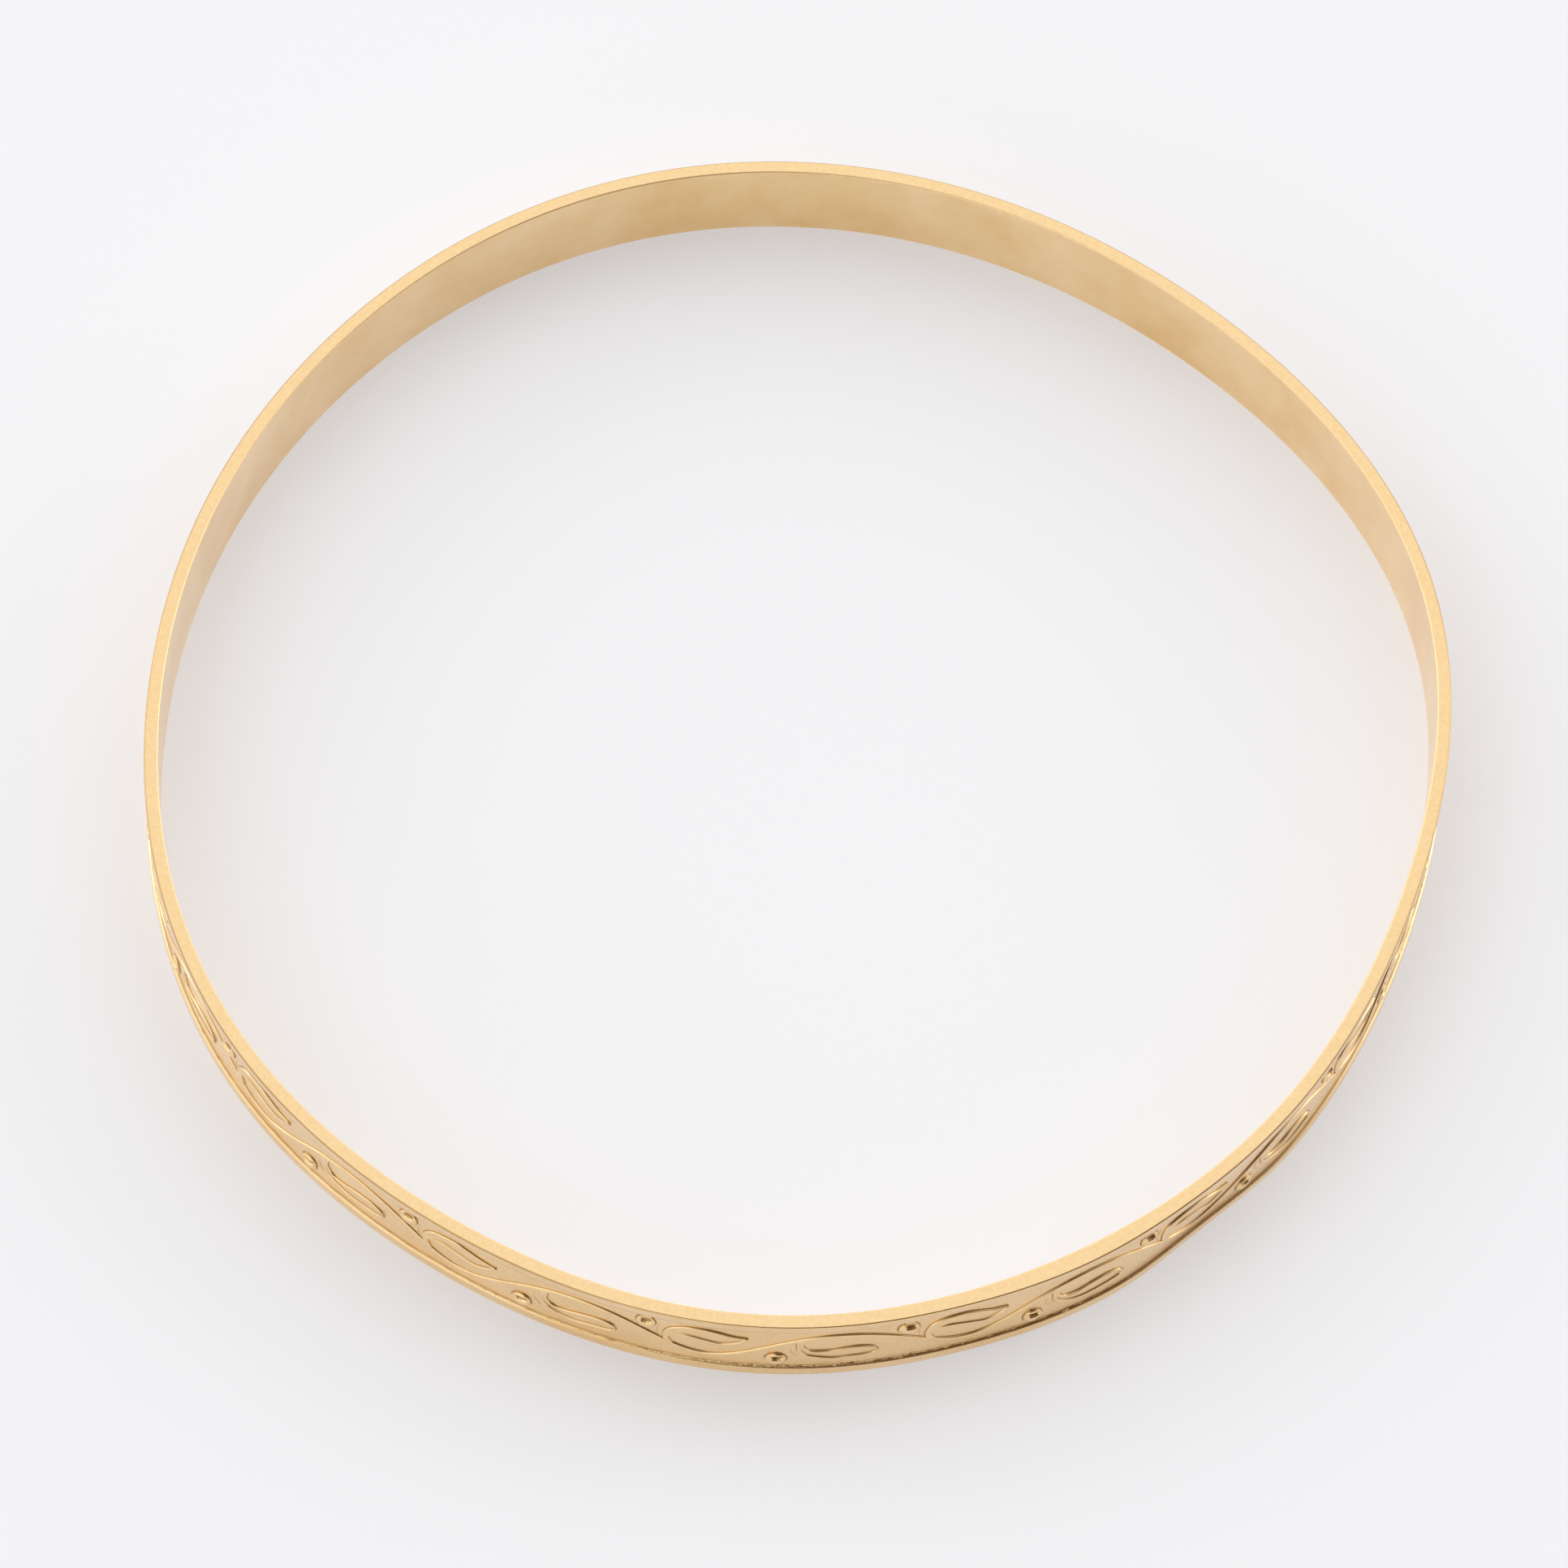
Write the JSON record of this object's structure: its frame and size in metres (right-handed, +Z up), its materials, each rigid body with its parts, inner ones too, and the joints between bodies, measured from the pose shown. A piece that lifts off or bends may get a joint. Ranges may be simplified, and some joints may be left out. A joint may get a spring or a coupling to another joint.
{
  "type": "bangle bracelet",
  "caption": "Rigid slip-on gold bangle: a plain strip closed into a ring, edged by border wires and dressed outside with a running vine of curled leaves and berries.",
  "frame": {"origin": "centre of the bangle's box on the plane it rests on when it lies flat", "axes": "+Z up along the bangle's axis, -Y towards the front"},
  "size_m": [0.0668, 0.0686, 0.0054],
  "materials": {
    "strip_gold": "satin yellow gold with a fine brushed grain",
    "rim_gold": "polished yellow gold with light wear scratches",
    "ornament_gold": "softly polished yellow gold relief"
  },
  "bodies": {
    "root": {"band_strip": "strip_gold", "lower_rim": "rim_gold", "upper_rim": "rim_gold", "vine": "ornament_gold", "upper_leaf_01": "ornament_gold", "upper_leaf_02": "ornament_gold", "upper_leaf_03": "ornament_gold", "upper_leaf_04": "ornament_gold", "upper_leaf_05": "ornament_gold", "upper_leaf_06": "ornament_gold", "upper_leaf_07": "ornament_gold", "upper_leaf_08": "ornament_gold", "upper_leaf_09": "ornament_gold", "upper_leaf_10": "ornament_gold", "upper_leaf_11": "ornament_gold", "upper_leaf_12": "ornament_gold", "upper_leaf_13": "ornament_gold", "upper_leaf_14": "ornament_gold", "upper_leaf_15": "ornament_gold", "upper_leaf_16": "ornament_gold", "upper_berries": "ornament_gold", "lower_leaf_01": "ornament_gold", "lower_leaf_02": "ornament_gold", "lower_leaf_03": "ornament_gold", "lower_leaf_04": "ornament_gold", "lower_leaf_05": "ornament_gold", "lower_leaf_06": "ornament_gold", "lower_leaf_07": "ornament_gold", "lower_leaf_08": "ornament_gold", "lower_leaf_09": "ornament_gold", "lower_leaf_10": "ornament_gold", "lower_leaf_11": "ornament_gold", "lower_leaf_12": "ornament_gold", "lower_leaf_13": "ornament_gold", "lower_leaf_14": "ornament_gold", "lower_leaf_15": "ornament_gold", "lower_leaf_16": "ornament_gold", "lower_berries": "ornament_gold"}
  },
  "joints": []
}
